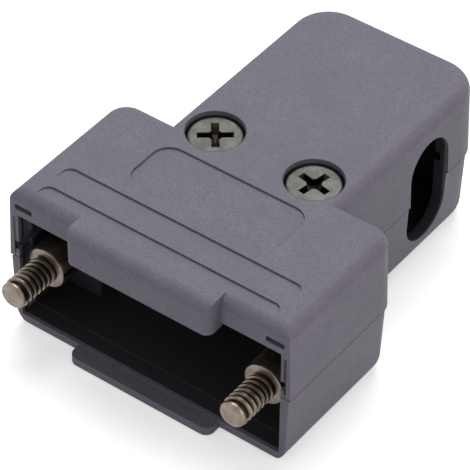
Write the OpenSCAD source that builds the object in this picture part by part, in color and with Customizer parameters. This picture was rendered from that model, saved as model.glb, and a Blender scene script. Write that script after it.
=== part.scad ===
// Nine-way D-sub connector hood: two moulded shells closed by two cover screws and nuts,
// with two captive locking screws at the mouth and a cable exit in one side of the neck.
// Millimetres, +Z up, mouth towards -Y, cable exit towards +X.
// Origin: on the underside, midway between the two cover screws.

/* [Body] */
// Height of the closed hood
body_h = 16.5; // [16.2:0.1:20]
// Height of the parting line above the underside
parting_z = 8.3; // [8.1:0.1:8.6]
// Depth of the block, from the front rim to its rear face
block_d = 16.8; // [16:0.1:20]
// Width of the neck behind the block
neck_w = 20; // [19:0.1:21]
// Depth of the neck, from the block's rear face to the end of the hood
neck_d = 23.6; // [21:0.1:30]
// How far each side leans in from the parting line to the top or to the underside
draft = 0.3; // [0.1:0.05:0.4]
// How far the lower shell stands back from the upper one at the parting line
parting_step = 0.18; // [0.05:0.01:0.2]
// Chamfer on the lower shell's edge at the parting line
parting_chamfer = 0.2; // [0.1:0.01:0.25]

/* [Edge rounding] */
// Radius along the top edges
top_r = 1.3; // [0.8:0.1:1.6]
// Radius along the bottom edges
bottom_r = 2; // [1:0.1:2]
// Radius of the bottom edge under the mouth
rim_r = 0.5; // [0.2:0.1:0.7]
// Radius of the block's rear corners, seen from above
block_corner_r = 2.5; // [2.5:0.1:4]
// Radius of the neck's rear corners, seen from above
neck_corner_r = 4.2; // [3:0.1:5]

/* [Walls] */
// Thickness of the block's side walls
side_wall = 1.2; // [1.1:0.05:1.3]
// Thickness of the block's rear wall
rear_wall = 1.6; // [1.4:0.1:2]
// Thickness of the neck's walls
neck_wall = 1.6; // [1.4:0.1:2]
// Thickness of the underside
floor_t = 1.4; // [1.2:0.1:1.6]
// Thickness of the top
roof_t = 1.5; // [1.3:0.1:1.8]

/* [Connector mouth] */
// Width of the connector's flange
flange_w = 30.81; // [30.5:0.01:30.9]
// Height of the connector's flange
flange_h = 12.55; // [12.4:0.01:12.6]
// Gap at each end of the flange in its groove
flange_gap = 0.1; // [0.05:0.01:0.14]
// Thickness of the walls beside the ends of the flange
flange_wall = 0.495; // [0.45:0.005:0.9]
// Gap above and below the flange in its groove
flange_rise = 0.3; // [0.1:0.05:0.35]
// Thickness of the lip in front of the flange
lip_t = 0.75; // [0.6:0.05:1]
// Width of the groove that holds the flange, from front to back
groove_t = 1.15; // [1:0.05:1.3]
// Height of the lower lip
lower_lip_z = 1.2; // [1:0.05:1.3]
// How far the lip covers the flange at its top
lip_cover = 0.45; // [0.3:0.05:0.8]
// How far the lip covers the flange at each end
lip_side_cover = 0.5; // [0.3:0.05:0.7]
// Depth of the ledge behind the groove
ledge_t = 0.9; // [0.7:0.1:1.2]
// How far the ledge backs the flange at its top
ledge_cover = 0.4; // [0.3:0.05:0.7]

/* [Tabs] */
// Width of the two tabs at the mouth
tab_w = 16.3; // [12:0.1:18]
// How far the tabs stand out in front of the rim
tab_out = 1.6; // [1:0.1:2]
// Radius of the tabs' corners, seen from above
tab_r = 0.9; // [0.5:0.1:1]
// Height of the upper tab's front face, its rounded edge included
upper_tab_h = 3.7; // [3:0.1:4]
// Thickness of the lower tab
lower_tab_t = 0.9; // [0.7:0.05:1]
// How far the lower tab's upper face lies below the lower lip
lower_tab_drop = 0.15; // [0.1:0.05:0.2]

/* [Lap joint] */
// Height of the lower shell's tongue above the parting line
tongue_h = 1; // [0.8:0.1:1.4]
// Height of the recess in the upper shell that takes the tongue
lap_h = 2; // [1.6:0.1:2.4]
// Gap between the tongue and the recess
lap_gap = 0.05; // [0.03:0.01:0.1]

/* [Top relief] */
// Depth of the relief in the top face
relief_depth = 0.22; // [0.15:0.01:0.3]
// Width of the two finger ramps
ramp_w = 26.7; // [20:0.1:27]
// Distance from the rim to the rear wall of the front ramp
front_ramp_y = 2.5; // [2.4:0.1:3]
// Distance from the rim to the rear wall of the second ramp
second_ramp_y = 5.65; // [5:0.05:6]
// Length of the second ramp
second_ramp_l = 2; // [1:0.1:2.2]
// Radius of the ramps' rear corners
ramp_r = 0.9; // [0.5:0.1:1]
// Width of the label panel
panel_w = 16.8; // [12:0.1:18]
// Length of the label panel
panel_l = 6.5; // [4:0.1:6.5]
// Distance from the rim to the front of the label panel
panel_y = 7.2; // [6.5:0.1:7.4]
// Radius of the label panel's corners
panel_r = 1.9; // [0.5:0.1:1.9]

/* [Corner notches] */
// Distance of each notch from the side of the block
notch_inset = 0.8; // [0.6:0.1:1]
// Distance of each notch below the top
notch_drop = 1.6; // [1.5:0.1:1.8]
// Width of the notch at each upper corner of the rim
notch_w = 2; // [1:0.1:2.2]
// Height of each corner notch
notch_h = 0.6; // [0.4:0.1:0.7]
// Depth of each corner notch
notch_depth = 0.4; // [0.2:0.05:0.6]

/* [Cover screws] */
// Distance between the two cover screws
cover_pitch = 11.3; // [10.5:0.1:11.5]
// Distance of the cover screws behind the front rim
cover_y = 17.7; // [17:0.1:18.4]
// Thread diameter of the cover screws
cover_d = 3; // [2.9:0.1:3]
// Head diameter of the cover screws
cover_head_d = 5.4; // [5:0.1:5.6]
// Head height of the cover screws
cover_head_h = 1.9; // [1.5:0.1:2]
// Radius of the dome on a screw head
head_dome_r = 14; // [9:0.5:20]
// Radius of the edge of a screw head
head_edge_r = 0.25; // [0.2:0.05:0.5]
// Depth of the screw heads below the top
cover_sink = 0.45; // [0.3:0.05:0.7]
// Radial gap round a screw head in its counterbore
head_gap = 0.16; // [0.12:0.01:0.3]
// Radial gap between a cover screw and its hole
shank_gap = 0.15; // [0.1:0.05:0.2]
// Outer diameter of the screw columns
column_d = 6.3; // [6:0.1:6.6]
// Wall and floor of the cup under each counterbore
cup_wall = 0.8; // [0.6:0.1:0.9]
// Width of a cross recess arm
cross_w = 0.8; // [0.7:0.05:1]
// Length of the cross recess from tip to tip
cross_l = 3.5; // [2.5:0.1:3.6]
// Depth of the cross recess
cross_depth = 1.1; // [0.8:0.1:1.3]
// Turn of the left screw's cross recess
left_cross_turn = 38; // [0:1:90]
// Turn of the right screw's cross recess
right_cross_turn = 80; // [0:1:90]

/* [Nuts] */
// Width of a nut across its flats
nut_af = 5.5; // [5.4:0.05:5.5]
// Thickness of a nut
nut_h = 2.4; // [2:0.1:2.4]
// Depth of the nuts above the underside
nut_sink = 0.4; // [0.2:0.1:0.5]
// Gap at each flat of a nut in its pocket
nut_gap = 0.05; // [0.03:0.01:0.1]
// Wall of the pad round each nut pocket
pad_wall = 0.6; // [0.5:0.05:0.65]
// Thickness of the column between a nut and the cavity
nut_bridge = 1.2; // [1:0.1:1.5]
// Radial gap between a nut and its screw
thread_gap = 0.03; // [0.02:0.01:0.05]

/* [Locking screws] */
// Distance of each locking screw from the end of the flange
lock_edge = 2.91; // [2.9:0.01:2.92]
// Outside diameter of the locking screws' thread
lock_d = 2.84; // [2.8:0.01:2.85]
// How far a locking screw's free end stands in front of the rim
lock_out = 4.1; // [3:0.1:6]
// Bevel at the free end
lock_bevel = 0.45; // [0.3:0.05:0.6]
// Diameter of the collar and the head
lock_head_d = 4.4; // [4:0.05:4.4]
// Distance of the collar's front face behind the rim
collar_y = 0.7; // [0.5:0.1:0.9]
// Length of the head behind the cradle
lock_head_l = 3.3; // [2.5:0.1:4]
// Diameter of the waist in the cradle
waist_d = 3; // [2.9:0.05:3.1]
// Radial running gap round the waist
cradle_gap = 0.05; // [0.03:0.01:0.09]
// End play of a locking screw in its cradle
lock_float = 1.25; // [1.2:0.05:1.3]
// Width of the driver slot
slot_w = 0.8; // [0.6:0.1:1]
// Depth of the driver slot
slot_depth = 1.2; // [0.8:0.1:1.5]

/* [Cradles] */
// Distance from the rim to the front of the cradle ribs
cradle_y = 6; // [5:0.1:6.4]
// Thickness of the cradle ribs
cradle_t = 1.4; // [1.2:0.1:1.8]
// Distance of each rib's inner edge from the screw's axis
cradle_reach = 2.3; // [2.2:0.1:2.8]
// Radius of the driver hole in the block's rear wall
driver_r = 1.9; // [1.6:0.05:1.9]

/* [Cable exit] */
// Distance from the rim to the middle of the cable exit
exit_y = 30.75; // [29:0.05:32]
// Width of the cable exit
exit_w = 6.3; // [5:0.1:7]
// Height of the cable exit
exit_h = 11.9; // [9:0.1:12]
// Height of the middle of the cable exit above the underside
exit_z = 8.25; // [8:0.05:8.5]

/* [Hidden] */
$fn = 64;
// Facets along each rounded edge of the shells
arc_steps = 9;
// Slight overshoot that keeps cuts and joins clean
eps = 0.02;
// Overshoot of a cut that leaves the body
past = 2;
shell_colour = [0.29, 0.28, 0.31];
cover_metal = [0.33, 0.32, 0.28];
lock_metal = [0.66, 0.61, 0.52];
nut_metal = [0.62, 0.62, 0.63];
// The sides' lean over each half of the height
lean = atan(draft / parting_z);
total_d = block_d + neck_d;
// The block is as wide as the flange, its gaps and the walls beside it
body_w = flange_w + 2 * (flange_gap + flange_wall);
// The flange stands just clear of the lower lip, and the locking screws lie on its centre line
lock_z = lower_lip_z + flange_rise + flange_h / 2;
lock_x = flange_w / 2 - lock_edge;
groove_top_z = lock_z + flange_h / 2 + flange_rise;
groove_half_w = flange_w / 2 + flange_gap;
mouth_top_z = groove_top_z - flange_rise - lip_cover;
mouth_half_w = flange_w / 2 - lip_side_cover;
ledge_top_z = groove_top_z - flange_rise - ledge_cover;
ledge_y = lip_t + groove_t;
cavity_y = ledge_y + ledge_t;
cavity_half_w = body_w / 2 - side_wall;
cavity_end_y = block_d - rear_wall;
chamber_half_w = neck_w / 2 - neck_wall;
chamber_end_y = total_d - neck_wall;
chamber_r = neck_corner_r - neck_wall;
roof_z = body_h - roof_t;
// Screw stack from the top down
head_top_z = body_h - cover_sink;
seat_z = head_top_z - cover_head_h;
counterbore_r = cover_head_d / 2 + head_gap;
cover_hole_r = cover_d / 2 + shank_gap;
cover_x = cover_pitch / 2;
nut_top_z = nut_sink + nut_h;
cover_tip_z = nut_sink;
pocket_af = nut_af + 2 * nut_gap;
// Distance across the corners of a hexagon, for each unit across its flats
hex_corner = 2 / sqrt(3);
pad_r = pocket_af / 2 * hex_corner + pad_wall;
pad_top_z = nut_top_z + nut_bridge;
// Locking screw, from the rim backwards
waist_y = cradle_y - lock_float;
head_y = cradle_y + cradle_t + cradle_gap;
cradle_r = waist_d / 2 + cradle_gap;
// The lap runs along the middle of the walls
lap_half_w = body_w / 2 - side_wall / 2;

// Puts a piece that is drawn from the front rim into the hood's own frame
module seated() {
    translate([0, -cover_y, 0])
        children();
}

// Points along a rounded edge, from one angle to another
function edge_arc(centre_x, centre_z, radius, from_a, to_a) = [
    for (step = [0 : arc_steps])
        let (a = from_a + (to_a - from_a) * step / arc_steps)
            [centre_x + radius * cos(a), centre_z + radius * sin(a)]
];

// Half outline of the upper shell's wall, from a centre line out to its reach
module upper_section(reach) {
    centre_z = body_h - top_r;
    centre_x = reach - (centre_z - parting_z) * tan(lean) - top_r / cos(lean);
    polygon(concat(
        [[0, parting_z], [reach, parting_z]],
        edge_arc(centre_x, centre_z, top_r, lean, 90),
        [[0, body_h]]
    ));
}

// Half outline of the lower shell's wall, with its step and chamfer at the parting line
module lower_section(reach) {
    edge = reach - parting_step;
    centre_x = edge - (parting_z - bottom_r) * tan(lean) - bottom_r / cos(lean);
    polygon(concat(
        [[0, 0]],
        edge_arc(centre_x, bottom_r, bottom_r, -90, -lean),
        [
            [edge, parting_z - parting_chamfer],
            [edge - parting_chamfer, parting_z],
            [0, parting_z],
        ]
    ));
}

module section(upper, reach) {
    if (upper)
        upper_section(reach);
    else
        lower_section(reach);
}

// A straight run of the section along Y, as wide as twice its reach
module long_run(upper, reach, from_y, to_y) {
    translate([0, to_y, 0])
        rotate([90, 0, 0])
            linear_extrude(to_y - from_y)
                for (side = [0, 1])
                    mirror([side, 0])
                        section(upper, reach);
}

// The rear end of a run: a straight middle and two turned corners
module rear_end(upper, half_w, corner_r, end_y) {
    translate([-(half_w - corner_r), end_y - corner_r, 0])
        rotate([90, 0, 90])
            linear_extrude(2 * (half_w - corner_r))
                section(upper, corner_r);
    for (side = [0, 1])
        mirror([side, 0, 0])
            translate([half_w - corner_r, end_y - corner_r, 0])
                rotate_extrude(angle = 90)
                    section(upper, corner_r);
}

// The solid form of one shell before it is hollowed
module solid_half(upper) {
    long_run(upper, body_w / 2, 0, block_d - block_corner_r);
    rear_end(upper, body_w / 2, block_corner_r, block_d);
    long_run(upper, neck_w / 2, block_d - block_corner_r - 1, total_d - neck_corner_r);
    rear_end(upper, neck_w / 2, neck_corner_r, total_d);
}

// Plan of the space inside the block and the neck, grown outwards by a margin
module inner_plan(margin) {
    inner_r = chamber_r + margin;
    translate([-cavity_half_w - margin, cavity_y])
        square([2 * (cavity_half_w + margin), cavity_end_y + margin - cavity_y]);
    translate([-chamber_half_w - margin, cavity_end_y - 1])
        square([2 * (chamber_half_w + margin), chamber_end_y - chamber_r - cavity_end_y + 1]);
    translate([-chamber_half_w - margin + inner_r, cavity_end_y])
        square([2 * (chamber_half_w + margin - inner_r), chamber_end_y + margin - cavity_end_y]);
    for (side = [-1, 1])
        translate([side * (chamber_half_w + margin - inner_r), chamber_end_y + margin - inner_r])
            circle(inner_r);
}

// Everything hollow that both shells share: mouth, flange groove, ledge, cavity and chamber
module hollow() {
    translate([-mouth_half_w, -past, lower_lip_z])
        cube([2 * mouth_half_w, lip_t + past + eps, mouth_top_z - lower_lip_z]);
    flange_groove();
    translate([-cavity_half_w, ledge_y - eps, floor_t])
        cube([2 * cavity_half_w, ledge_t + 2 * eps, ledge_top_z - floor_t]);
    translate([0, 0, floor_t])
        linear_extrude(roof_z - floor_t)
            inner_plan(0);
}

// The groove behind the lip that takes the connector's flange
module flange_groove() {
    translate([-groove_half_w, lip_t, lower_lip_z])
        cube([2 * groove_half_w, groove_t, groove_top_z - lower_lip_z]);
}

// The driver holes behind the locking screws
module driver_holes() {
    for (side = [-1, 1])
        translate([side * lock_x, block_d + past, lock_z])
            rotate([90, 0, 0])
                cylinder(r = driver_r, h = rear_wall + 2 * past);
}

// The cable exit: an upright slot with full-round ends through the right wall of the neck
module cable_exit() {
    end_z = (exit_h - exit_w) / 2;
    translate([chamber_half_w - past, exit_y, exit_z]) {
        for (side = [-1, 1])
            translate([0, 0, side * end_z])
                rotate([0, 90, 0])
                    cylinder(d = exit_w, h = neck_wall + 2 * past);
        translate([0, -exit_w / 2, -end_z])
            cube([neck_wall + 2 * past, exit_w, 2 * end_z]);
    }
}

// Bores the waist's running hole through a pair of cradle ribs
module cradle_bores() {
    for (side = [-1, 1])
        translate([side * lock_x, cradle_y + cradle_t + past, lock_z])
            rotate([90, 0, 0])
                cylinder(r = cradle_r, h = cradle_t + 2 * past);
}

// A pair of cradle ribs between two heights, out to a given distance from the middle
module cradle_ribs(from_z, to_z, outer_x) {
    inner_x = lock_x - cradle_reach;
    for (side = [0, 1])
        mirror([side, 0, 0])
            translate([inner_x, cradle_y, from_z])
                cube([outer_x - inner_x, cradle_t, to_z - from_z]);
}

// Cuts one edge of the rim to a radius, from end to end
module rim_round(radius, edge_z, upward) {
    inward = upward ? -1 : 1;
    translate([-body_w / 2 - past, 0, edge_z])
        rotate([90, 0, 90])
            linear_extrude(body_w + 2 * past)
                difference() {
                    translate([-past, upward ? -radius : -past])
                        square([past + radius, past + radius]);
                    translate([radius, inward * radius])
                        circle(radius);
                }
}

// A tab at the mouth, with rounded corners seen from above
module tab_plan(back) {
    translate([-tab_w / 2, -tab_out + tab_r])
        square([tab_w, tab_out - tab_r + back]);
    translate([-tab_w / 2 + tab_r, -tab_out])
        square([tab_w - 2 * tab_r, tab_out + back]);
    for (side = [-1, 1])
        translate([side * (tab_w / 2 - tab_r), -tab_out + tab_r])
            circle(tab_r);
}

// The upper tab, which hangs a little below the lip in front of the flange groove
module upper_tab() {
    difference() {
        upper_tab_block();
        flange_groove();
    }
}

// The upper tab before the flange groove is cut from it, rounded like the edge behind it
module upper_tab_block() {
    back = top_r + eps;
    intersection() {
        translate([0, 0, body_h - upper_tab_h])
            linear_extrude(upper_tab_h)
                tab_plan(back);
        translate([-tab_w / 2 - 1, -tab_out, 0])
            rotate([90, 0, 90])
                linear_extrude(tab_w + 2)
                    union() {
                        square([tab_out + back, body_h - top_r]);
                        translate([top_r, 0])
                            square([tab_out + back - top_r, body_h]);
                        translate([top_r, body_h - top_r])
                            circle(top_r);
                    }
    }
}

module lower_tab() {
    translate([0, 0, lower_lip_z - lower_tab_t - lower_tab_drop])
        linear_extrude(lower_tab_t)
            tab_plan(lip_t);
}

// A shallow ramp that deepens towards its rear wall, with rounded rear corners
module ramp_cut(rear_y, length, open_front) {
    front_y = rear_y - length;
    intersection() {
        translate([0, 0, body_h - relief_depth])
            linear_extrude(relief_depth + past) {
                translate([-ramp_w / 2, open_front ? -past : front_y])
                    square([ramp_w, rear_y - ramp_r - (open_front ? -past : front_y)]);
                translate([-ramp_w / 2 + ramp_r, front_y])
                    square([ramp_w - 2 * ramp_r, length]);
                for (side = [-1, 1])
                    translate([side * (ramp_w / 2 - ramp_r), rear_y - ramp_r])
                        circle(ramp_r);
            }
        translate([-ramp_w / 2 - 1, 0, body_h])
            rotate([90, 0, 90])
                linear_extrude(ramp_w + 2)
                    polygon([
                        [front_y, 0],
                        [rear_y + past, -relief_depth * (length + past) / length],
                        [rear_y + past, past],
                        [front_y, past],
                    ]);
    }
}

module panel_cut() {
    translate([0, panel_y, body_h - relief_depth])
        linear_extrude(relief_depth + past) {
            translate([-panel_w / 2 + panel_r, 0])
                square([panel_w - 2 * panel_r, panel_l]);
            translate([-panel_w / 2, panel_r])
                square([panel_w, panel_l - 2 * panel_r]);
            for (side = [-1, 1], end_y = [panel_r, panel_l - panel_r])
                translate([side * (panel_w / 2 - panel_r), end_y])
                    circle(panel_r);
        }
}

// The small notch at each upper corner of the rim
module corner_notches() {
    notch_x = body_w / 2 - notch_inset - notch_w;
    for (side = [0, 1])
        mirror([side, 0, 0])
            translate([notch_x, -past, body_h - notch_drop - notch_h])
                cube([notch_w, past + notch_depth, notch_h]);
}

// Both columns round the cover screws, between two heights
module screw_columns(radius, from_z, to_z) {
    for (side = [-1, 1])
        translate([side * cover_x, cover_y, from_z])
            cylinder(r = radius, h = to_z - from_z);
}

module upper_shell() {
    color(shell_colour)
        seated()
            difference() {
                union() {
                    difference() {
                        solid_half(true);
                        hollow();
                        rim_round(top_r, body_h, true);
                        translate([-lap_half_w, -past, parting_z - past])
                            cube([2 * lap_half_w, cavity_end_y + past, lap_h + past]);
                        translate([0, 0, parting_z - past])
                            linear_extrude(lap_h + past)
                                inner_plan(side_wall / 2);
                    }
                    upper_tab();
                    screw_columns(column_d / 2, parting_z, roof_z + eps);
                    screw_columns(counterbore_r + cup_wall, seat_z - cup_wall, roof_z + eps);
                    cradle_ribs(parting_z, parting_z + lap_h + eps, cavity_half_w - lap_gap);
                    cradle_ribs(parting_z + lap_h, roof_z + eps, cavity_half_w + eps);
                }
                ramp_cut(front_ramp_y, front_ramp_y - top_r / 2, true);
                ramp_cut(second_ramp_y, second_ramp_l, false);
                panel_cut();
                corner_notches();
                cable_exit();
                driver_holes();
                cradle_bores();
                screw_columns(cover_hole_r, parting_z - past, body_h);
                screw_columns(counterbore_r, seat_z, body_h + past);
            }
}

module lower_shell() {
    color(shell_colour)
        seated()
            difference() {
                union() {
                    difference() {
                        solid_half(false);
                        hollow();
                        rim_round(rim_r, 0, false);
                    }
                    tongue();
                    lower_tab();
                    screw_columns(pad_r, floor_t - eps, pad_top_z);
                    screw_columns(column_d / 2, pad_top_z - eps, parting_z);
                    cradle_ribs(floor_t - eps, parting_z, cavity_half_w + eps);
                }
                cable_exit();
                driver_holes();
                cradle_bores();
                for (side = [-1, 1])
                    translate([side * lock_x - cradle_r, cradle_y - eps, lock_z])
                        cube([2 * cradle_r, cradle_t + 2 * eps, parting_z]);
                screw_columns(cover_hole_r, nut_sink, parting_z + past);
                for (side = [-1, 1])
                    translate([side * cover_x, cover_y, -past])
                        nut_prism(pocket_af, nut_top_z + past);
            }
}

// The tongue on the lower shell's walls that stands up inside the upper shell
module tongue() {
    tongue_half_w = lap_half_w - lap_gap;
    difference() {
        translate([0, 0, parting_z - eps])
            linear_extrude(tongue_h + eps) {
                translate([-tongue_half_w, 0])
                    square([2 * tongue_half_w, cavity_y + 1]);
                inner_plan(side_wall / 2 - lap_gap);
            }
        hollow();
        screw_columns(column_d / 2 + lap_gap, parting_z - past, parting_z + lap_h);
    }
}

// A hexagonal prism with two of its flats facing the sides
module nut_prism(across_flats, height) {
    rotate([0, 0, 30])
        cylinder(d = across_flats * hex_corner, h = height, $fn = 6);
}

module cover_nut(side) {
    color(nut_metal)
        seated()
            translate([side * cover_x, cover_y, nut_sink])
                difference() {
                    nut_prism(nut_af, nut_h);
                    translate([0, 0, -past])
                        cylinder(r = cover_d / 2 + thread_gap, h = nut_h + 2 * past);
                }
}

// Outline of a cover screw from its axis: shank, seat, rounded edge and domed top
module cover_outline() {
    head_r = cover_head_d / 2;
    seat_at = seat_z - cover_tip_z;
    dome_drop = head_dome_r - sqrt(pow(head_dome_r, 2) - pow(head_r, 2));
    edge_at = seat_at + cover_head_h - dome_drop - head_edge_r;
    square([cover_d / 2, seat_at + eps]);
    intersection() {
        translate([0, seat_at + cover_head_h - head_dome_r])
            circle(head_dome_r, $fn = 192);
        union() {
            translate([0, seat_at])
                square([head_r, edge_at - seat_at]);
            translate([0, seat_at])
                square([head_r - head_edge_r, cover_head_h]);
            translate([head_r - head_edge_r, edge_at])
                circle(head_edge_r);
        }
    }
}

module cover_screw(side, turn) {
    color(cover_metal)
        seated()
            translate([side * cover_x, cover_y, cover_tip_z])
                difference() {
                    rotate_extrude()
                        cover_outline();
                    for (arm = [0, 90])
                        rotate([0, 0, turn + arm])
                            translate([-cross_l / 2, -cross_w / 2, head_top_z - cover_tip_z - cross_depth])
                                cube([cross_l, cross_w, cross_depth + past]);
                }
}

// Outline of a locking screw from its axis, from the free end at 0 back to the head
module lock_outline() {
    thread_r = lock_d / 2;
    head_r = lock_head_d / 2;
    edge = 0.25;
    collar_at = lock_out + collar_y;
    waist_at = lock_out + waist_y;
    head_at = lock_out + head_y;
    end_at = head_at + lock_head_l;
    polygon([
        [0, 0],
        [thread_r - lock_bevel, 0],
        [thread_r, lock_bevel],
        [thread_r, collar_at],
        [head_r - edge, collar_at],
        [head_r, collar_at + edge],
        [head_r, waist_at],
        [waist_d / 2, waist_at],
        [waist_d / 2, head_at],
        [head_r, head_at],
        [head_r, end_at - edge],
        [head_r - edge, end_at],
        [0, end_at],
    ]);
}

module lock_screw(side) {
    color(lock_metal)
        seated()
            translate([side * lock_x, -lock_out, lock_z])
                difference() {
                    rotate([-90, 0, 0])
                        rotate_extrude()
                            lock_outline();
                    translate([-lock_head_d, lock_out + head_y + lock_head_l - slot_depth, -slot_w / 2])
                        cube([2 * lock_head_d, slot_depth + past, slot_w]);
                }
}

upper_shell();
lower_shell();
cover_screw(-1, left_cross_turn);  // cover_screw_left
cover_screw(1, right_cross_turn);  // cover_screw_right
cover_nut(-1);  // cover_nut_left
cover_nut(1);  // cover_nut_right
lock_screw(-1);  // lock_screw_left
lock_screw(1);  // lock_screw_right
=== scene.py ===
# %% [markdown]
# # A connector hood in two halves
# The hood is a small moulded box that closes round the back of a nine-way connector. Two cover
# screws hold its halves together, and two locking screws stand at the mouth. The solids come from
# the CAD frame, where every size is exact. The two halves keep their solids and get a finish here.
# The screws and nuts are modelled again, because their solids have no threads, and their turned
# and pressed edges are finer than a solid needs.

from math import copysign, cos, pi, radians, sin, sqrt

import bmesh
import bpy
from mathutils import Matrix, Vector


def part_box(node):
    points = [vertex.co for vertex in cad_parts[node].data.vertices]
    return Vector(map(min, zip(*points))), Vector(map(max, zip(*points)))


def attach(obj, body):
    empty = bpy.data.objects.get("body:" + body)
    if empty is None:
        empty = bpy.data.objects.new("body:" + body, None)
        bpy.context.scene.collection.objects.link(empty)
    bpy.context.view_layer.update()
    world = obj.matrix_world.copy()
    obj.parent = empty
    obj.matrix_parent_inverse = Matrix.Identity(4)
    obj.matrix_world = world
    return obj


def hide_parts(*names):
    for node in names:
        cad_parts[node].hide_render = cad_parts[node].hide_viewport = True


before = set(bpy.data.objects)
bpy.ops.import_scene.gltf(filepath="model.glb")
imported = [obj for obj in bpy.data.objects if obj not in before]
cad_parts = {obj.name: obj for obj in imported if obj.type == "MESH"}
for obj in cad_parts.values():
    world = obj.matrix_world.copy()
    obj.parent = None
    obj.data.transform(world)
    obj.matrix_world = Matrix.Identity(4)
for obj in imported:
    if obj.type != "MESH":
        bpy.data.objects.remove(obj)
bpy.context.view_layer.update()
mm = 0.001
print("nodes:", sorted(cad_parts))

# %% [markdown]
# ## Measures
# The places of the screws and nuts, and how far the shells reach, are read from the boxes of the
# CAD nodes, so they follow the source. A box doesn't say where a collar sits on its screw or how
# thick a wall is. Such sizes are repeated below by name, and they change here by hand when the
# source does. The locking screws lie along Y, and the cover screws stand along Z.

# %% Read the places of the screws
LOCK_NODES = ["lock_screw_left", "lock_screw_right"]
COVER_NODES = ["cover_screw_left", "cover_screw_right"]
NUT_NODES = ["cover_nut_left", "cover_nut_right"]
SHELL_NODES = ["upper_shell", "lower_shell"]
LOCK_BODY = {"lock_screw_left": "left_lock", "lock_screw_right": "right_lock"}
Y_AXIS = 1
Z_AXIS = 2


def middle(node):
    low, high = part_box(node)
    return (low + high) / 2


shell_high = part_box("upper_shell")[1]
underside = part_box("lower_shell")[0].z
lock_centre = (abs(middle("lock_screw_left").x), 0, middle("lock_screw_left").z)
cover_centre = (abs(middle("cover_screw_left").x), 0, 0)
cover_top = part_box("cover_screw_left")[1].z
print("top of the hood:", round(shell_high.z / mm, 2), "mm")

# %% [markdown]
# ## Shader maths
# A material that varies over a surface needs a little arithmetic. This class wraps one output
# socket, so that `0.4 + grain * 0.1` adds the Math nodes by itself. The reflected forms, such as
# `__radd__`, serve where the number comes first.


# %% A socket that can be added and multiplied
class Wire:
    def __init__(self, finish, socket):
        self.finish = finish
        self.socket = socket

    def _math(self, operation, *terms):
        return self.finish.node("ShaderNodeMath", {"operation": operation}, dict(enumerate(terms)))

    def __add__(self, other):
        return self._math("ADD", self, other)

    def __radd__(self, other):
        return self._math("ADD", other, self)

    def __sub__(self, other):
        return self._math("SUBTRACT", self, other)

    def __rsub__(self, other):
        return self._math("SUBTRACT", other, self)

    def __mul__(self, other):
        return self._math("MULTIPLY", self, other)

    def __rmul__(self, other):
        return self._math("MULTIPLY", other, self)

    def __abs__(self):
        return self._math("ABSOLUTE", self)

    def either(self, other):
        """The larger of the two, which joins two masks."""
        return self._math("MAXIMUM", self, other)


# %% [markdown]
# ## The nodes of a finish
# Any other node comes from `Finish.node`, which takes the node's type, its settings and its
# inputs. The settings are made first, because some of them change which sockets the node has. The
# short methods after it are the patterns that the materials share: a noise, a ramp, a soft
# threshold, a mix of two colours, a bump and a distance from a screw's axis.

# %% The sockets of a colour Mix node
COLOUR_A = 6
COLOUR_B = 7
COLOUR_RESULT = 2


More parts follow.
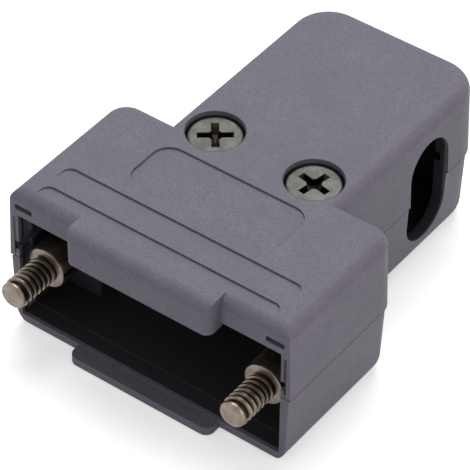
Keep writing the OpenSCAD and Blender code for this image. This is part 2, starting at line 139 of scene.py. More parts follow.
# %% The nodes of one material or world
class Finish:
    def __init__(self, owner):
        owner.use_nodes = True
        self.owner = owner
        self.tree = owner.node_tree
        self.tree.nodes.clear()

    def node(self, kind, settings=None, inputs=None, output=0):
        made = self.tree.nodes.new(kind)
        for name, value in (settings or {}).items():
            if name == "stops":
                self._set_stops(made.color_ramp, value)
            else:
                setattr(made, name, value)
        for name, value in (inputs or {}).items():
            if isinstance(value, Wire):
                self.tree.links.new(value.socket, made.inputs[name])
            else:
                made.inputs[name].default_value = value
        return Wire(self, made.outputs[output]) if made.outputs else None

    def _set_stops(self, ramp, stops):
        while len(ramp.elements) < len(stops):
            ramp.elements.new(1)
        for element, (position, colour) in zip(ramp.elements, stops):
            element.position = position
            element.color = (*colour, 1)

    def place(self):
        return self.node("ShaderNodeTexCoord", output="Object")

    def ray(self, kind):
        return self.node("ShaderNodeLightPath", output=f"Is {kind} Ray")

    def looked_at(self):
        """1 where the camera, a reflection or glass looks, and 0 where light is gathered."""
        return self.ray("Camera").either(self.ray("Glossy")).either(self.ray("Transmission"))

    def noise(self, scale, detail, roughness=0.55, stretch=(1, 1, 1)):
        place = self.node("ShaderNodeMapping", {}, {"Vector": self.place(), "Scale": stretch})
        inputs = {"Vector": place, "Scale": scale, "Detail": detail, "Roughness": roughness}
        return self.node("ShaderNodeTexNoise", {}, inputs)

    def ramp(self, factor, stops):
        return self.node("ShaderNodeValToRGB", {"stops": stops}, {"Fac": factor})

    def between(self, factor, low, high):
        """Turns a factor into 0 below low and 1 above high, or the other way if high is less."""
        inputs = {"Value": factor, "From Min": low, "From Max": high}
        return self.node("ShaderNodeMapRange", {"interpolation_type": "SMOOTHSTEP"}, inputs)

    def within(self, value, span, soft):
        """1 from the low end of the span to its high end, and 0 outside, with soft ends."""
        low, high = span
        rise = self.between(value, low - soft, low + soft)
        fall = self.between(value, high + soft, high - soft)
        return rise * fall

    def mix(self, factor, first, second):
        inputs = {"Factor": factor, COLOUR_A: first, COLOUR_B: second}
        return self.node("ShaderNodeMix", {"data_type": "RGBA"}, inputs, output=COLOUR_RESULT)

    def bump(self, height, distance, strength, normal=None):
        inputs = {"Height": height, "Distance": distance, "Strength": strength}
        if normal:
            inputs["Normal"] = normal
        return self.node("ShaderNodeBump", {}, inputs)

    def xyz(self):
        """Three wires: how far from the middle plane, how far back, and how high."""
        parts = self.node("ShaderNodeSeparateXYZ", {}, {"Vector": self.place()}).socket.node.outputs
        x, y, z = (Wire(self, part) for part in parts)
        return abs(x), y, z

    def length_of(self, *parts):
        """The length of the vector that has these parts."""
        joined = self.node("ShaderNodeCombineXYZ", {}, dict(enumerate(parts)))
        return self.node("ShaderNodeVectorMath", {"operation": "LENGTH"}, {0: joined}, output="Value")

    def out_from(self, centre, along):
        """Distance from a line that runs along one axis; both sides of the hood mirror in X."""
        offset = [part - start for part, start in zip(self.xyz(), centre)]
        offset[along] = 0.0
        return self.length_of(*offset)

    def surface(self, **inputs):
        named = {name.replace("_", " "): value for name, value in inputs.items()}
        shader = self.node("ShaderNodeBsdfPrincipled", {}, named)
        self.node("ShaderNodeOutputMaterial", {}, {"Surface": shader})
        return self.owner


def finish_for(name):
    return Finish(bpy.data.materials.new(name))


# %% [markdown]
# ## Where shade is painted on the plastic
# The inside of the hood is nearly black, and painted shade makes it so. Painted shade also lies in
# the joint between the halves, in the groove of each side rim and in the gap round the heads of the
# cover screws, and a dark line runs round the top of each counterbore. A dark colour could go on
# faces of its own, but the shells' meshes come from the CAD and stay as they are. So masks find
# these places by position. The inside is a plan with rounded rear corners that stays one skin
# inside the walls. The painted shade so keeps off the outer faces, and fills only the inside, bores
# and pockets.

# %% Sizes of the painted shade
MOUTH_Y = -17.7 * mm
SKIN = 0.8 * mm
FLOOR_SKIN = 1.05 * mm
ROOF_SKIN = 1.2 * SKIN
INSIDE_Z = (underside + FLOOR_SKIN, shell_high.z - ROOF_SKIN)
BLOCK_HALF = 15.8 * mm
BLOCK_FRONT = MOUTH_Y + 0.4 * mm
BLOCK_BACK = -0.9 * mm
BLOCK_CORNER = 2.5 * mm
NECK_HALF = 9.9 * mm
NECK_FRONT = BLOCK_BACK - 2 * SKIN
NECK_BACK = shell_high.y
NECK_CORNER = 4.2 * mm
EXIT_X = (8.5 * mm, 9.5 * mm)
EXIT_Y = (9.7 * mm, 16.4 * mm)
EXIT_Z = (2.1 * mm, 14.4 * mm)
# Painted shade: a line in the joint, one along each rim groove and one in the gap round each cover
# head.
JOINT_Z = 8.3 * mm
JOINT_LINE = (JOINT_Z - 0.03 * mm, JOINT_Z + 0.11 * mm)
RIM_GROOVE_X = (15.2 * mm, 15.5 * mm)
RIM_GROOVE_Z = (JOINT_Z + 0.5 * mm, 13.2 * mm)
RIM_GROOVE_END = (MOUTH_Y + 0.3 * mm, MOUTH_Y + 0.2 * mm)
BORE_R = 2.86 * mm
GAP_EDGE = (BORE_R + 0.1 * mm, BORE_R + 0.05 * mm)
GAP_TOP = (cover_top + 0.1 * mm, cover_top - 0.05 * mm)
RING_R = (BORE_R, BORE_R + 0.07 * mm)
RING_FOOT = (shell_high.z - 0.1 * mm, shell_high.z - 0.05 * mm)
SOFT = 0.15 * mm
FIRM = 0.1 * mm
FINE = 0.04 * mm
print("dark inside from z", round(INSIDE_Z[0] / mm, 2), "to", round(INSIDE_Z[1] / mm, 2), "mm")


# %% Masks of the painted shade
def rounded_plan(finish, half, front, back, corner):
    """1 inside a plan with rounded rear corners, one skin in from its walls."""
    x, y = finish.xyz()[:2]
    aside = (x - (half - corner)).either(0.0)
    behind = (y - (back - corner)).either(0.0)
    edge = corner - SKIN
    plan = finish.between(finish.length_of(aside, behind), edge + FIRM, edge - FIRM)
    return plan * finish.between(y, front - FIRM, front + FIRM)


def exit_shade_mask(finish):
    spans = zip(finish.xyz(), (EXIT_X, EXIT_Y, EXIT_Z))
    x_mask, y_mask, z_mask = (finish.within(part, span, FIRM) for part, span in spans)
    return x_mask * y_mask * z_mask


# Painted shade: the inside of the block, the neck and the cable exit.
def inside_shade_mask(finish):
    height = finish.within(finish.xyz()[Z_AXIS], INSIDE_Z, SOFT)
    block = rounded_plan(finish, BLOCK_HALF, BLOCK_FRONT, BLOCK_BACK, BLOCK_CORNER)
    neck = rounded_plan(finish, NECK_HALF, NECK_FRONT, NECK_BACK, NECK_CORNER)
    return (height * block.either(neck)).either(exit_shade_mask(finish))


def shade_line_mask(finish):
    x, y, z = finish.xyz()
    out = finish.out_from(cover_centre, Z_AXIS)
    # Painted shade in the joint, in the groove of each side rim and in the gap round each cover head;
    # the ring is a dark line round the top of each counterbore.
    joint = finish.within(z, JOINT_LINE, FINE)
    rim = finish.within(x, RIM_GROOVE_X, FINE) * finish.within(z, RIM_GROOVE_Z, FINE)
    rim = rim * finish.between(y, *RIM_GROOVE_END)
    gap = finish.between(out, *GAP_EDGE) * finish.between(z, *GAP_TOP)
    ring = finish.within(out, RING_R, FINE) * finish.between(z, *RING_FOOT)
    return joint.either(rim).either(gap).either(ring)


# %% [markdown]
# ## The moulded plastic
# The halves are moulded in a dark grey plastic with a slight purple cast. The mould was spark
# eroded, which leaves a fine even grain, so the sheen is broken into tiny specks. A slow cloud and
# a mottle make the tone uneven, a speckle adds dark pits, and thin rubs are a little shinier. The
# masks lay the painted shade over this, and two bumps in a row give the grain and the mottle some
# height.

# %% Colours and scales of the plastic
PLASTIC_PALE = (0.17, 0.158, 0.2)
PLASTIC_DEEP = (0.134, 0.124, 0.16)
PLASTIC_PIT = (0.113, 0.105, 0.136, 1)
# Near-black painted shade for the inside of the hood and for its dark lines.
PAINTED_SHADE_COLOUR = (0.009, 0.008, 0.009, 1)
INSIDE_SHADE_COVER = 0.93
LINE_SHADE_COVER = 0.85
CLOUD_SCALE = 260
CLOUD_SHARE = 0.55
MOTTLE_SCALE = 1500
MOTTLE_HEIGHT = 0.03 * mm
DEEP_AT = 0.36
PALE_AT = 0.64
SPECKLE_SCALE = 8200
PIT_FADE = (0.36, 0.6)
GRAIN_SCALE = 5200
GRAIN_HEIGHT = 0.028 * mm
GRAIN_DULLS = 0.14
RUB_SCALE = 330
RUB_STRETCH = (1, 5, 1)
RUB_FADE = (0.6, 0.74)
RUBS_POLISH = 0.07
PLASTIC_ROUGHNESS = 0.56


# %% Shell plastic
def moulded_plastic():
    finish = finish_for("moulded plastic")
    cloud = finish.noise(CLOUD_SCALE, detail=4)
    mottle = finish.noise(MOTTLE_SCALE, detail=3, roughness=0.6)
    grain = finish.noise(GRAIN_SCALE, detail=2, roughness=0.6)
    speckle = finish.noise(SPECKLE_SCALE, detail=1)
    rubs = finish.between(finish.noise(RUB_SCALE, detail=5, stretch=RUB_STRETCH), *RUB_FADE)
    uneven = cloud * CLOUD_SHARE + mottle * (1 - CLOUD_SHARE)
    base = finish.ramp(uneven, [(DEEP_AT, PLASTIC_DEEP), (PALE_AT, PLASTIC_PALE)])
    tone = finish.mix(finish.between(speckle, *PIT_FADE), PLASTIC_PIT, base)
    # Painted shade: the masks darken the tone towards a near-black colour.
    dark = (inside_shade_mask(finish) * INSIDE_SHADE_COVER).either(shade_line_mask(finish) * LINE_SHADE_COVER)
    tone = finish.mix(dark, tone, PAINTED_SHADE_COLOUR)
    fine = finish.bump(grain, GRAIN_HEIGHT, strength=0.6)
    relief = finish.bump(mottle, MOTTLE_HEIGHT, strength=0.3, normal=fine)
    dullness = PLASTIC_ROUGHNESS + grain * GRAIN_DULLS - rubs * RUBS_POLISH
    return finish.surface(
        Base_Color=tone, Roughness=dullness, Normal=relief, IOR=1.5, Specular_IOR_Level=0.35,
    )


plastic = moulded_plastic()
for node in SHELL_NODES:
    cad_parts[node].data.materials.clear()
    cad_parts[node].data.materials.append(plastic)
print("made", plastic.name, "for", SHELL_NODES)

# %% [markdown]
# ## The metals
# The locking screws are plated in a warm bright nickel, the cover screws in a darker one with an
# olive tint, and the nuts in plain zinc. All carry turning marks: rings round the axis, made by a
# noise that reads only the distance from it. A cloud dulls the plating where fingers and tools
# touched it. The threads of the locking screws are darker towards their root, painted shade
# darkens the edge of each cover screw's head, and the cross recess is a near-black metal of its
# own that paints the shade in it.

# %% Colours and scales of the metals
METAL_CLOUD_SCALE = 900
METAL_CLOUD_SHARE = 0.7
METAL_FINE_SCALE = 7000
METAL_FINE_HEIGHT = 0.01 * mm
METAL_FADE = (0.36, 0.66)
CLOUD_DULLS = 0.16
MARK_SCALE = 9000
MARK_HEIGHT = 0.012 * mm
MARKS_DULL = 0.06
# A dark colour: painted shade at the edge of a cover screw's head, and a darker root on the locking
# threads.
METAL_DARKENED = (0.03, 0.026, 0.02, 1)
THREAD_DARK_R = (1.33 * mm, 1.16 * mm)
EDGE_SHADE_R = (2.5 * mm, 2.6 * mm)


# %% Plated metal
def plated_metal(name, pale, deep, roughness, centre, along, darken_r=None):
    finish = finish_for(name)
    cloud = finish.noise(METAL_CLOUD_SCALE, detail=4)
    fine = finish.noise(METAL_FINE_SCALE, detail=2)
    out = finish.out_from(centre, along)
    rings = {"W": out, "Scale": MARK_SCALE}
    marks = finish.node("ShaderNodeTexNoise", {"noise_dimensions": "1D"}, rings)
    uneven = cloud * METAL_CLOUD_SHARE + fine * (1 - METAL_CLOUD_SHARE)
    tone = finish.mix(finish.between(uneven, *METAL_FADE), deep, pale)
    # Darkens by distance from the axis: painted shade at a cover head's edge, a darker root on a
    # thread.
    if darken_r:
        tone = finish.mix(finish.between(out, *darken_r), tone, METAL_DARKENED)
    turned_marks = finish.bump(marks, MARK_HEIGHT, strength=0.35)
    relief = finish.bump(fine, METAL_FINE_HEIGHT, strength=0.35, normal=turned_marks)
    dullness = roughness + cloud * CLOUD_DULLS + marks * MARKS_DULL
    return finish.surface(Base_Color=tone, Metallic=1.0, Roughness=dullness, Normal=relief)


lock_metal = plated_metal(
    "warm nickel", pale=(0.3, 0.252, 0.21, 1), deep=(0.18, 0.148, 0.117, 1), roughness=0.24,
    centre=lock_centre, along=Y_AXIS,
)
thread_metal = plated_metal(
    "worn thread", pale=(0.31, 0.262, 0.215, 1), deep=(0.17, 0.142, 0.11, 1), roughness=0.26,
    centre=lock_centre, along=Y_AXIS, darken_r=THREAD_DARK_R,
)
# The edge of the head takes painted shade.
cover_metal = plated_metal(
    "dark nickel", pale=(0.118, 0.116, 0.108, 1), deep=(0.07, 0.068, 0.06, 1), roughness=0.34,
    centre=cover_centre, along=Z_AXIS, darken_r=EDGE_SHADE_R,
)
# A near-black metal that paints the shade in the cross recess.
recess_shade_metal = plated_metal(
    "painted shade recess", pale=(0.03, 0.027, 0.018, 1), deep=(0.008, 0.007, 0.005, 1), roughness=0.3,
    centre=cover_centre, along=Z_AXIS,
)
nut_metal = plated_metal(
    "zinc", pale=(0.55, 0.55, 0.56, 1), deep=(0.36, 0.36, 0.37, 1), roughness=0.3,
    centre=cover_centre, along=Z_AXIS,
)
METALS = [lock_metal, thread_metal, cover_metal, recess_shade_metal, nut_metal]
print("made", [metal.name for metal in METALS])

# %% [markdown]
# ## Turned pieces
# A screw is turned on a lathe, so each one starts as half of its outline, drawn from the axis out
# and spun once round. `turned` takes the outline as distances along the axis and out from it. It
# spins with use_merge, so that the last step closes on the first. `piece` merges the doubles that
# are left, turns every face outwards and makes the object.

# %% Directions and tolerances
CROSS = Vector((1, 0, 0))
ALONG_Y = Vector((0, 1, 0))
ALONG_Z = Vector((0, 0, 1))
MERGE = 0.0005 * mm
NEAR = 0.001 * mm
CUT_NEAR = 0.0001 * mm
SMOOTH_ANGLE = 32
TURN_STEPS = 72


# %% Helpers for turned pieces
def piece(name, bm, materials, smooth_angle=SMOOTH_ANGLE):
    bmesh.ops.remove_doubles(bm, verts=bm.verts, dist=MERGE)
    bmesh.ops.recalc_face_normals(bm, faces=bm.faces)
    mesh = bpy.data.meshes.new(name)
    bm.to_mesh(mesh)
    bm.free()
    for material in materials:
        mesh.materials.append(material)
    made = bpy.data.objects.new(name, mesh)
    bpy.context.scene.collection.objects.link(made)
    mesh.shade_smooth()
    mesh.set_sharp_from_angle(angle=radians(smooth_angle))
    print(name, len(mesh.polygons), "faces")
    return made


def turned(bm, outline, axis, steps=TURN_STEPS):
    """Spins an outline of (along, out) pairs once round the axis and merges its ends."""
    points = [bm.verts.new(axis * along + CROSS * out) for along, out in outline]
    edges = [bm.edges.new(pair) for pair in zip(points, points[1:])]
    bmesh.ops.spin(
        bm, geom=points + edges, cent=(0, 0, 0), axis=axis, angle=2 * pi,
        steps=steps, use_merge=True,
    )
    bmesh.ops.remove_doubles(bm, verts=bm.verts, dist=MERGE)


def rounded(along, out, radius, turn_back=False):
    """Three points round an outer edge, from the face at `along` to the side at `out`."""
    cut = radius * (1 - sqrt(0.5))
    points = [(along, out - radius), (along + cut, out - cut), (along + radius, out)]
    if turn_back:
        points = [(2 * along - at, far) for at, far in reversed(points)]
    return points


def geometry(faces):
    """The faces with their edges and corners, each once, as bisect_plane wants them."""
    edges = dict.fromkeys(edge for face in faces for edge in face.edges)
    corners = dict.fromkeys(corner for face in faces for corner in face.verts)
    return [*corners, *edges, *faces]


# %% [markdown]
# ## The thread
# A thread is a ridge that climbs one pitch a turn, so a small V with a flat top is spun with a
# push along the axis at each step. It turns about the axis that it climbs, which makes the thread
# right-handed. It is laid over a core of the root diameter and sunk a little into it, and its
# first steps rise out of the core, so the thread fades in behind the tip.

# %% Thread maker
THREAD_STEPS = 36
THREAD_FADE = 20
FOOT_SHARE = 0.46
CREST_SHARE = 0.19
SINK_SHARE = 0.97


def thread_ridge(bm, start, length, pitch, top_r, root_r, axis, material_index=0):
    first = len(bm.verts)
    half = FOOT_SHARE * pitch
    flat = CREST_SHARE * pitch
    sunk = root_r * SINK_SHARE
    outline = [(-half, sunk), (-flat, top_r), (flat, top_r), (half, sunk)]
    points = [bm.verts.new(axis * (start + along) + CROSS * out) for along, out in outline]
    edges = [bm.edges.new(pair) for pair in zip(points, points[1:])]
    turns = length / pitch
    steps = round(turns * THREAD_STEPS)
    bmesh.ops.spin(
        bm, geom=points + edges, cent=(0, 0, 0), axis=axis, angle=2 * pi * turns,
        dvec=axis * (length / steps), steps=steps, use_merge=False,
    )
    bm.verts.ensure_lookup_table()
    ridge = bm.verts[first:]
    for face in {face for corner in ridge for face in corner.link_faces}:
        face.material_index = material_index
    for number, corner in enumerate(ridge[: THREAD_FADE * len(outline)]):
        along = axis * corner.co.dot(axis)
        outward = corner.co - along
        height = max(outward.length - sunk, 0) * (number // len(outline)) / THREAD_FADE
        corner.co = along + outward.normalized() * (sunk + height)


# %% [markdown]
# ## The locking screws
# Each has a thread at its free end, a collar, a waist that turns in the shells' cradle, and a
# slotted head for a driver. All lengths run from the free end. The slot is cut as a saw would do
# it: the head is bisected along both walls and the floor, the faces between them are deleted, and
# the walls and floor are filled. The stretch between the tip and the collar takes the second
# material, which is darker towards the root of the thread.

# %% Locking screw sizes
PITCH = 0.635 * mm
THREAD_R = 1.42 * mm
ROOT_R = 1.08 * mm
TIP_FACE_R = 1.12 * mm
TIP_EDGE = (0.1 * mm, TIP_FACE_R + 0.14 * mm)
TIP_RING_AT = 0.26 * mm
TIP_RING_R = 1.34 * mm
TIP_RING_L = 0.45 * mm
TIP_RING_FALL = 0.15 * mm
THREAD_AT = TIP_RING_L + 0.35 * PITCH
COLLAR_AT = 4.8 * mm
COLLAR_EDGE = 0.35 * mm
WAIST_AT = 8.85 * mm
WAIST_R = 1.5 * mm
HEAD_AT = 11.55 * mm
HEAD_EDGE = 0.22 * mm
SLOT_W = 0.8 * mm
SLOT_DEPTH = 1.2 * mm
print("locking thread:", round((COLLAR_AT - THREAD_AT) / PITCH, 1), "turns")


# %% Outline of a locking screw
def lock_outline(length, head_r):
    tip = [(0, 0), (0, TIP_FACE_R), TIP_EDGE, (TIP_RING_AT, TIP_RING_R)]
    ring = [(TIP_RING_L, TIP_RING_R), (TIP_RING_L + TIP_RING_FALL, ROOT_R), (COLLAR_AT, ROOT_R)]
    collar = rounded(COLLAR_AT, head_r, COLLAR_EDGE)
    waist = [(WAIST_AT, head_r), (WAIST_AT, WAIST_R), (HEAD_AT, WAIST_R)]
    head = [*rounded(HEAD_AT, head_r, HEAD_EDGE), *rounded(length, head_r, HEAD_EDGE, turn_back=True)]
    return [*tip, *ring, *collar, *waist, *head, (length, 0)]


# %% Driver slot
def driver_slot(bm, length):
    floor_at = length - SLOT_DEPTH
    wall_at = SLOT_W / 2
    for normal, distance in ((ALONG_Z, wall_at), (ALONG_Z, -wall_at), (ALONG_Y, floor_at)):
        head = [face for face in bm.faces if face.calc_center_median().y > HEAD_AT + NEAR]
        bmesh.ops.bisect_plane(
            bm, geom=geometry(head), plane_co=normal * distance, plane_no=normal, dist=CUT_NEAR,
        )
    centres = [(face, face.calc_center_median()) for face in bm.faces]
    gone = [face for face, at in centres if at.y > floor_at and abs(at.z) < wall_at]
    bmesh.ops.delete(bm, geom=gone, context="FACES")
    rim = [edge for edge in bm.edges if edge.is_boundary]
    low_corners = dict.fromkeys(
        corner for edge in rim for corner in edge.verts
        if abs(corner.co.y - floor_at) < NEAR and abs(abs(corner.co.z) - wall_at) < NEAR
    )
    foot = {
        side: bm.edges.new([corner for corner in low_corners if corner.co.z * side > 0])
        for side in (-1, 1)
    }
    for side in (-1, 1):
        wall = [
            edge for edge in rim
            if all(abs(corner.co.z - side * wall_at) < NEAR for corner in edge.verts)
        ]
        bmesh.ops.edgeloop_fill(bm, edges=[*wall, foot[side]])
    ends = [
        edge for edge in rim if all(abs(corner.co.y - floor_at) < NEAR for corner in edge.verts)
    ]
    bmesh.ops.edgeloop_fill(bm, edges=[*ends, foot[-1], foot[1]])


# %% Model the locking screws
def lock_screw(node):
    low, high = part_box(node)
    length = high.y - low.y
    bm = bmesh.new()
    turned(bm, lock_outline(length, (high.z - low.z) / 2), ALONG_Y)
    driver_slot(bm, length)
    for face in bm.faces:
        if TIP_RING_L < face.calc_center_median().y < COLLAR_AT - NEAR:
            face.material_index = 1
    thread_l = COLLAR_AT - THREAD_AT
    thread_ridge(bm, THREAD_AT, thread_l, PITCH, THREAD_R, ROOT_R, ALONG_Y, material_index=1)
    centre = middle(node)
    bmesh.ops.translate(bm, verts=bm.verts, vec=(centre.x, low.y, centre.z))
    made = piece(node + "_threaded", bm, [lock_metal, thread_metal])
    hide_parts(node)
    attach(made, LOCK_BODY[node])


for node in LOCK_NODES:
    lock_screw(node)

# %% [markdown]
# ## The cover screws
# The head is turned with a flat top and a rounded edge. The cross recess is then pressed into it:
# its outline is bisected into the top, the faces inside are deleted, and the rim is extruded down
# in steps that narrow to a point, with a fine lip first. Each screw was left at its own turn.

# %% Cover screw sizes
COVER_TIP_R = 1.1 * mm
COVER_TIP_L = 0.4 * mm
COVER_SHANK_R = 1.5 * mm
COVER_RING_R = COVER_SHANK_R - 0.05 * mm
COVER_ROOT_R = 1.22 * mm
COVER_ROOT_AT = 0.55 * mm
COVER_PITCH = 0.5 * mm
COVER_THREAD_AT = 0.6 * mm
COVER_THREAD_END = 5.5 * mm
COVER_SHANK_RISE = 0.2 * mm
COVER_HEAD_H = 1.9 * mm
COVER_SEAT_EDGE = 0.1 * mm
COVER_EDGE = 0.25 * mm
TOP_RIM = 0.06 * mm
CROSS_W = 0.8 * mm
CROSS_L = 3.5 * mm
CROSS_CORE = 1.05 * mm
CROSS_ROOT = CROSS_CORE - CROSS_W / 2
CROSS_LIP = 0.05 * mm
CROSS_FOOT = 0.85 * mm
CROSS_DEPTH = 1.09 * mm
ARM_SHARE = 0.45
FOOT_NARROWED = 0.88
CROSS_TURN = {"cover_screw_left": radians(38), "cover_screw_right": radians(80)}
print("cover thread:", round((COVER_THREAD_END - COVER_THREAD_AT) / COVER_PITCH, 1), "turns")


# %% Outline of a cover screw
def cover_outline(length, head_r):
    seat_at = length - COVER_HEAD_H
    tip = [(0, 0), (0, COVER_TIP_R), (COVER_TIP_L, COVER_RING_R)]
    core = [
        (COVER_ROOT_AT, COVER_ROOT_R), (COVER_THREAD_END, COVER_ROOT_R),
        (COVER_THREAD_END + COVER_SHANK_RISE, COVER_SHANK_R), (seat_at, COVER_SHANK_R),
    ]
    seat = rounded(seat_at, head_r, COVER_SEAT_EDGE)
    edge = rounded(length, head_r, COVER_EDGE, turn_back=True)
    top = [(length, head_r - COVER_EDGE - TOP_RIM), (length, 0)]
    return [*tip, *core, *seat, *edge, *top]


# %% Cut the cross into the top
def cut_cross(bm, length, u_way, v_way):
    """Opens the cross in the flat top of a head, and gives the edges round the hole."""

    def in_top(at):
        return at.z > length - TOP_RIM / 2

    def in_cross(at):
        short, long = sorted((abs(at.dot(u_way)), abs(at.dot(v_way))))
        in_arm = short < CROSS_W / 2 and long < CROSS_L / 2
        return in_arm or short + long < CROSS_CORE

    cuts = [(way, half) for way in (u_way, v_way) for half in (CROSS_W / 2, CROSS_L / 2)]
    cuts += [((u_way + side * v_way).normalized(), CROSS_CORE * sqrt(0.5)) for side in (-1, 1)]
    for way, half in cuts:
        for side in (-1, 1):
            cap = [face for face in bm.faces if in_top(face.calc_center_median())]
            bmesh.ops.bisect_plane(
                bm, geom=geometry(cap), plane_co=way * side * half, plane_no=way, dist=CUT_NEAR,
            )
    centres = [(face, face.calc_center_median()) for face in bm.faces]
    gone = [face for face, at in centres if in_top(at) and in_cross(at)]
    bmesh.ops.delete(bm, geom=gone, context="FACES")
    return [edge for edge in bm.edges if edge.is_boundary]


# %% Press the cross down
def extruded_rim(bm, rim, material_index):
    """Extrudes the edges of a hole, and gives the new corners and the new edges of the hole."""
    made = bmesh.ops.extrude_edge_only(bm, edges=rim)["geom"]
    corners = [item for item in made if isinstance(item, bmesh.types.BMVert)]
    edges = [item for item in made if isinstance(item, bmesh.types.BMEdge)]
    for item in made:
        if isinstance(item, bmesh.types.BMFace):
            item.material_index = material_index
    fresh = set(corners)
    return corners, [edge for edge in edges if fresh.issuperset(edge.verts)]


def press_cross(bm, rim, length, u_way, v_way):
    def lip(at):
        return at - CROSS_LIP if at > CROSS_LIP else at

    def foot(at):
        return min(at, CROSS_ROOT + (at - CROSS_ROOT) * ARM_SHARE) * FOOT_NARROWED

    # The lip keeps the head's metal; the deeper steps take the near-black metal of the painted recess
    # shade.
    for narrowed, depth, material_index in ((lip, CROSS_LIP, 0), (foot, CROSS_FOOT, 1)):
        corners, rim = extruded_rim(bm, rim, material_index)
        for corner in corners:
            u, v = corner.co.dot(u_way), corner.co.dot(v_way)
            moved = u_way * copysign(narrowed(abs(u)), u) + v_way * copysign(narrowed(abs(v)), v)
            corner.co = Vector((moved.x, moved.y, length - depth))
    corners = extruded_rim(bm, rim, material_index=1)[0]
    bmesh.ops.pointmerge(bm, verts=corners, merge_co=(0, 0, length - CROSS_DEPTH))


# %% Model the cover screws
def cover_screw(node):
    low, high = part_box(node)
    length = high.z - low.z
    turn_by = CROSS_TURN[node]
    u_way = Vector((cos(turn_by), sin(turn_by), 0))
    v_way = Vector((-sin(turn_by), cos(turn_by), 0))
    bm = bmesh.new()
    turned(bm, cover_outline(length, (high.x - low.x) / 2), ALONG_Z)
    rim = cut_cross(bm, length, u_way, v_way)
    press_cross(bm, rim, length, u_way, v_way)
    thread_l = COVER_THREAD_END - COVER_THREAD_AT
    thread_ridge(bm, COVER_THREAD_AT, thread_l, COVER_PITCH, COVER_SHANK_R, COVER_ROOT_R, ALONG_Z)
    centre = middle(node)
    bmesh.ops.translate(bm, verts=bm.verts, vec=(centre.x, centre.y, low.z))
    made = piece(node + "_crossed", bm, [cover_metal, recess_shade_metal])
    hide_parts(node)
    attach(made, "hood")


for node in COVER_NODES:
    cover_screw(node)

# %% [markdown]
# ## The nuts
# A nut starts as a turned ring with a cone at both ends, and its six flats are then cut off it
# with bisect_plane and filled. Cutting the flats through the cones leaves the curved corner
# chamfers of a real nut without drawing them.

# %% Nut sizes
NUT_SIDES = 6
NUT_STEPS = 96
NUT_FLATS = 5.5 * mm
NUT_FLAT_R = NUT_FLATS / 2
NUT_CORNER_R = NUT_FLAT_R / cos(pi / NUT_SIDES)
NUT_FACE_R = NUT_FLAT_R * 0.97
NUT_BEVEL = 0.35 * mm
NUT_BORE_R = 1.53 * mm
NUT_MOUTH_R = NUT_BORE_R + 0.16 * mm
NUT_MOUTH_L = 0.2 * mm
NUT_SMOOTH_ANGLE = 20


# %% Model the nuts
def nut(node):
    low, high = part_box(node)
    height = high.z - low.z
    outline = [
        (0, NUT_MOUTH_R), (0, NUT_FACE_R), (NUT_BEVEL, NUT_CORNER_R),
        (height - NUT_BEVEL, NUT_CORNER_R), (height, NUT_FACE_R), (height, NUT_MOUTH_R),
        (height - NUT_MOUTH_L, NUT_BORE_R), (NUT_MOUTH_L, NUT_BORE_R), (0, NUT_MOUTH_R),
    ]
    bm = bmesh.new()
    turned(bm, outline, ALONG_Z, steps=NUT_STEPS)
    for side in range(NUT_SIDES):
        turn_by = side * 2 * pi / NUT_SIDES
        way = Vector((cos(turn_by), sin(turn_by), 0))
        bmesh.ops.bisect_plane(
            bm, geom=[*bm.verts, *bm.edges, *bm.faces], plane_co=way * NUT_FLAT_R, plane_no=way,
            dist=CUT_NEAR, clear_outer=True,
        )
        bmesh.ops.edgeloop_fill(bm, edges=[edge for edge in bm.edges if edge.is_boundary])
    centre = middle(node)
    bmesh.ops.translate(bm, verts=bm.verts, vec=(centre.x, centre.y, low.z))
    made = piece(node + "_bevelled", bm, [nut_metal], smooth_angle=NUT_SMOOTH_ANGLE)
    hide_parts(node)
    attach(made, "hood")


for node in NUT_NODES:
    nut(node)

# %% [markdown]
# ## Floor and surroundings
# The hood lies on a plain pale sheet, as in a small product studio. The sheet and the
# surroundings are white where the camera or a reflection looks at them, and dimmer where light is
# gathered, so the background is white without more light on the hood. The sheet still takes the
# hood's shadow.

# %% Floor
FLOOR_HALF = 1.5
FLOOR_LIFT = 0.5
PAPER_SCALE = 300
PAPER_DEEP = (0.8, 0.8, 0.8, 1)
PAPER_PALE = (0.83, 0.83, 0.83, 1)
PAPER_ROUGHNESS = 0.85


def pale_floor():
    finish = finish_for("pale sheet")
    paper = finish.noise(PAPER_SCALE, detail=4)
    lift = finish.mix(finish.looked_at(), (0, 0, 0, 1), (FLOOR_LIFT, FLOOR_LIFT, FLOOR_LIFT, 1))
    sheet = finish.surface(
        Base_Color=finish.mix(paper, PAPER_DEEP, PAPER_PALE),
        Roughness=PAPER_ROUGHNESS + paper * 0.05, Specular_IOR_Level=0.2,
        Emission_Color=lift, Emission_Strength=1.0,
    )
    bm = bmesh.new()
    bmesh.ops.create_grid(bm, x_segments=1, y_segments=1, size=FLOOR_HALF)
    bmesh.ops.translate(bm, verts=bm.verts, vec=(0, 0, underside))
    piece("pale_sheet", bm, [sheet])


pale_floor()

# %% World
ROOM_LIGHT = 0.4
SEEN_LIGHT = 1.0


def studio_room():
    world = bpy.data.worlds.new("studio")
    bpy.context.scene.world = world
    finish = Finish(world)
    white = (1, 1, 1, 1)
    seen = finish.node("ShaderNodeBackground", {}, {"Color": white, "Strength": SEEN_LIGHT})
    room = finish.node("ShaderNodeBackground", {}, {"Color": white, "Strength": ROOM_LIGHT})
    picked = finish.node("ShaderNodeMixShader", {}, {0: finish.looked_at(), 1: room, 2: seen})
    finish.node("ShaderNodeOutputWorld", {}, {"Surface": picked})
    print("made", world.name)


studio_room()
bpy.context.scene.view_settings.view_transform = "Standard"

# %% [markdown]
# ## Lamps
# Three square soft lamps light the hood. The strongest hangs overhead, a little behind, and makes
# the top the brightest face. A weaker warm one on the right lifts the side with the cable exit,
# and a faint one in front keeps the tabs from going black. Each is many times as wide as the
# hood, which makes the edges of the shadows soft.

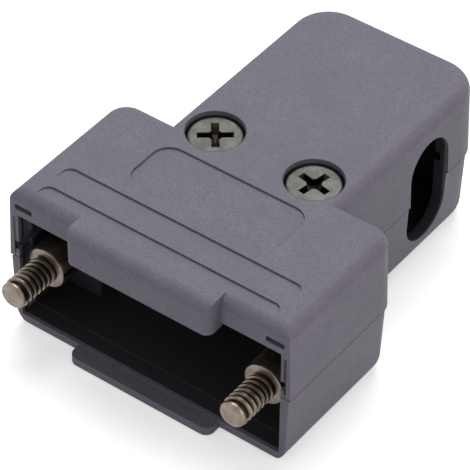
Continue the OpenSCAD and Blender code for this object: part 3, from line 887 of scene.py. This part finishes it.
# %% Lamps
LAMP_AIM = Vector((0, 0, 8)) * mm


def soft_lamp(name, place, size, power, colour):
    data = bpy.data.lights.new(name, "AREA")
    data.shape = "SQUARE"
    data.size = size
    data.energy = power
    data.color = colour
    lamp = bpy.data.objects.new(name, data)
    bpy.context.scene.collection.objects.link(lamp)
    lamp.location = place
    lamp.rotation_euler = (LAMP_AIM - Vector(place)).to_track_quat("-Z", "Y").to_euler()
    print("lamp", name, power, "W")


soft_lamp("overhead", place=(-0.1, 0.16, 0.44), size=0.3, power=1.6, colour=(0.98, 0.98, 1))
soft_lamp("side", place=(0.42, 0.05, 0.2), size=0.25, power=0.42, colour=(1, 0.88, 0.78))
soft_lamp("front", place=(-0.12, -0.4, 0.3), size=0.3, power=0.16, colour=(1, 0.95, 0.9))

# %% [markdown]
# ## Camera
# The camera looks down at the mouth and the cable exit side with a long lens. Its place is worked
# out from two angles, a slight roll and a distance, about a point inside the hood. The three
# directions of the camera, to its right, upwards and backwards, are the columns of its matrix.

# %% Camera
AZIMUTH = radians(36.236)
ELEVATION = radians(42.450)
ROLL = radians(0.72)
DISTANCE = 282.92 * mm
AIM = Vector((-1.135, -2.864, 8.0)) * mm
LENS = 231.8
SENSOR = 36
NEAREST = 10 * mm
across = Vector((cos(AZIMUTH), sin(AZIMUTH), 0))
ahead = Vector((-sin(AZIMUTH) * cos(ELEVATION), cos(AZIMUTH) * cos(ELEVATION), -sin(ELEVATION)))
upward = across.cross(ahead)
right = across * cos(ROLL) + upward * sin(ROLL)
above = upward * cos(ROLL) - across * sin(ROLL)
camera_data = bpy.data.cameras.new("camera")
camera_data.lens = LENS
camera_data.sensor_width = SENSOR
camera_data.clip_start = NEAREST
camera = bpy.data.objects.new("camera", camera_data)
bpy.context.scene.collection.objects.link(camera)
turn = Matrix((right, above, -ahead)).transposed().to_4x4()
camera.matrix_world = Matrix.Translation(AIM - ahead * DISTANCE) @ turn
bpy.context.scene.camera = camera
print("camera at", [round(v / mm, 1) for v in camera.location])
